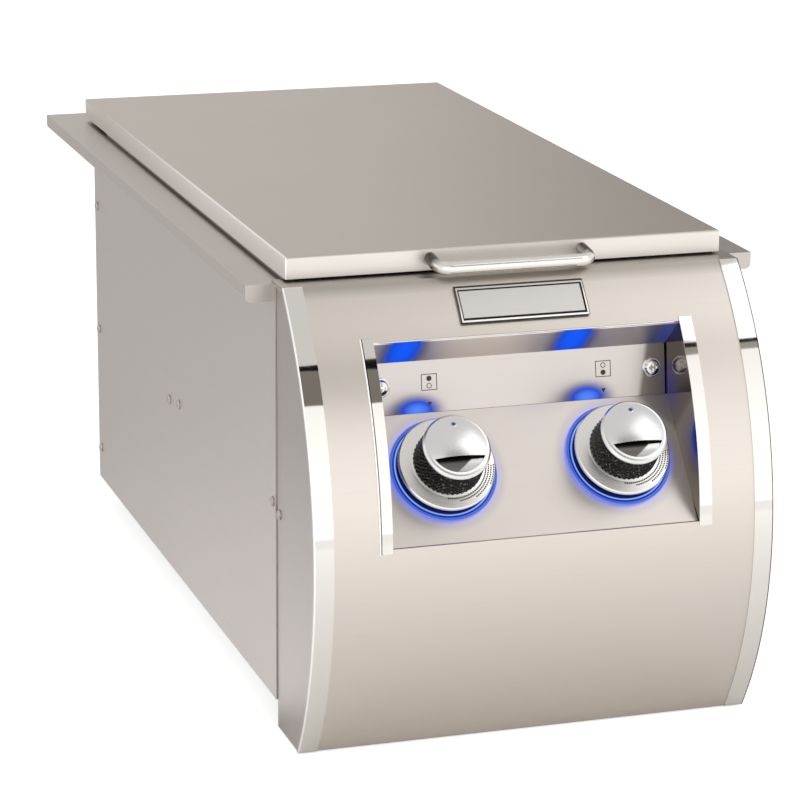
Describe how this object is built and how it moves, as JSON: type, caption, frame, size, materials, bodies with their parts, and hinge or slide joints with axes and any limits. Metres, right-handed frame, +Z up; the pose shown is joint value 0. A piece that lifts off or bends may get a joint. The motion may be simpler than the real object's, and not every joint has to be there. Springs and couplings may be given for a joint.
{
  "type": "built in side burner",
  "caption": "Built in gas side burner for an outdoor kitchen: flat hinged lid, lift out grates and a barrel curved front with lit push and turn knobs.",
  "frame": {"origin": "under the middle of the whole object, level with the lower edge of the curved front", "axes": "+X to the right seen from the front, -Y towards the front with the knobs, +Z up"},
  "size_m": [0.338, 0.6977, 0.307],
  "materials": {
    "lid_steel": "fine brushed stainless sheet",
    "brushed_steel": "brushed stainless sheet",
    "side_steel": "satin stainless sheet",
    "label_steel": "brushed stainless sheet",
    "knob_panel_steel": "brushed stainless sheet",
    "tray_steel": "pressed stainless sheet",
    "galvanised_steel": "zinc coated sheet",
    "bright_steel": "polished stainless",
    "screw_steel": "plain stainless",
    "bracket_steel": "plain stainless",
    "rod_steel": "ground rod",
    "stem_steel": "turned steel",
    "pipe_steel": "zinc plated pipe",
    "igniter_steel": "wire",
    "plate_rim_chrome": "polished rim",
    "plate_field_enamel": "satin field, left bare",
    "knob_chrome": "satin chrome",
    "grip_black": "knurled black barrel",
    "ring_blue": "lit blue ring",
    "fitting_brass": "machined brass",
    "burner_brass": "cast brass",
    "cast_aluminium": "sand cast",
    "tube_aluminium": "drawn tube",
    "valve_metal": "die cast",
    "cap_enamel": "matt black enamel",
    "grate_iron": "matt black enamelled casting",
    "white_ceramic": "glazed ceramic",
    "black_plastic": "moulded case",
    "board_green": "circuit board",
    "lead_rubber": "silicone lead",
    "bumper_rubber": "rubber stud"
  },
  "bodies": {
    "cabinet": {"lid_hinge_rod": "rod_steel", "lid_hinge_brackets": "bracket_steel", "lid_bumpers": "bumper_rubber", "top_frame": "brushed_steel", "back_panel": "galvanised_steel", "bottom_pan": "galvanised_steel", "heat_shield": "galvanised_steel", "side_screws": "screw_steel", "fascia_front": "brushed_steel", "recess_ceiling": "bright_steel", "label_panel": "label_steel", "label_screws": "screw_steel", "knob_panel": "knob_panel_steel", "name_plate_rim": "plate_rim_chrome", "name_plate_field": "plate_field_enamel", "gas_manifold": "pipe_steel", "manifold_cap": "pipe_steel", "inlet_elbow": "fitting_brass", "inlet_fitting": "fitting_brass", "burner_tray": "tray_steel", "igniter_ceramics": "white_ceramic", "igniter_tips": "igniter_steel", "spark_module": "black_plastic", "igniter_leads": "lead_rubber", "edge_bands": "bright_steel", "opening_trims": "bright_steel", "recess_walls": "bright_steel", "light_boards": "board_green", "gas_tubes": "tube_aluminium", "left_side_panel": "side_steel", "fascia_left_cheek": "side_steel", "left_light_ring": "ring_blue", "left_valve_body": "valve_metal", "right_side_panel": "side_steel", "fascia_right_cheek": "side_steel", "right_light_ring": "ring_blue", "right_valve_body": "valve_metal", "rear_burner_base": "cast_aluminium", "rear_burner_head": "burner_brass", "front_burner_base": "cast_aluminium", "front_burner_head": "burner_brass"},
    "lid": {"lid": "lid_steel", "lid_handle": "bright_steel", "handle_screws": "screw_steel", "lid_hinge_leaves": "bracket_steel"},
    "left_push": {"left_push_collar": "stem_steel"},
    "right_push": {"right_push_collar": "stem_steel"},
    "left_knob": {"left_knob_skirt": "knob_chrome", "left_knob_grip": "grip_black", "left_knob_cap": "knob_chrome", "left_valve_stem": "stem_steel"},
    "right_knob": {"right_knob_skirt": "knob_chrome", "right_knob_grip": "grip_black", "right_knob_cap": "knob_chrome", "right_valve_stem": "stem_steel"},
    "front_grate": {"front_grate": "grate_iron"},
    "rear_grate": {"rear_grate": "grate_iron"},
    "front_burner_cap": {"front_burner_cap": "cap_enamel"},
    "rear_burner_cap": {"rear_burner_cap": "cap_enamel"}
  },
  "joints": [
    {"name": "lid_hinge", "type": "hinge", "parent": "cabinet", "child": "lid", "pos_m": [0, 0.3108, 0.3], "axis": [-1, 0, 0], "range_deg": [0, 95]},
    {"name": "left_knob_push", "type": "slide", "parent": "cabinet", "child": "left_push", "axis": [0, 0.7593, -0.6508], "range_m": [0, 0.0035], "stiffness_N_per_m": 1500, "springref_m": -0.002},
    {"name": "left_knob_turn", "type": "hinge", "parent": "left_push", "child": "left_knob", "pos_m": [-0.058, -0.30823, 0.17763], "axis": [0, -0.7593, 0.6508], "range_deg": [0, 270]},
    {"name": "right_knob_push", "type": "slide", "parent": "cabinet", "child": "right_push", "axis": [0, 0.7593, -0.6508], "range_m": [0, 0.0035], "stiffness_N_per_m": 1500, "springref_m": -0.002},
    {"name": "right_knob_turn", "type": "hinge", "parent": "right_push", "child": "right_knob", "pos_m": [0.058, -0.30823, 0.17763], "axis": [0, -0.7593, 0.6508], "range_deg": [0, 270]},
    {"name": "front_grate_lift", "type": "slide", "parent": "cabinet", "child": "front_grate", "axis": [0, 0, 1], "range_m": [0, 0.011]},
    {"name": "front_cap_lift", "type": "slide", "parent": "cabinet", "child": "front_burner_cap", "axis": [0, 0, 1], "range_m": [0, 0.006]},
    {"name": "rear_grate_lift", "type": "slide", "parent": "cabinet", "child": "rear_grate", "axis": [0, 0, 1], "range_m": [0, 0.011]},
    {"name": "rear_cap_lift", "type": "slide", "parent": "cabinet", "child": "rear_burner_cap", "axis": [0, 0, 1], "range_m": [0, 0.006]}
  ]
}
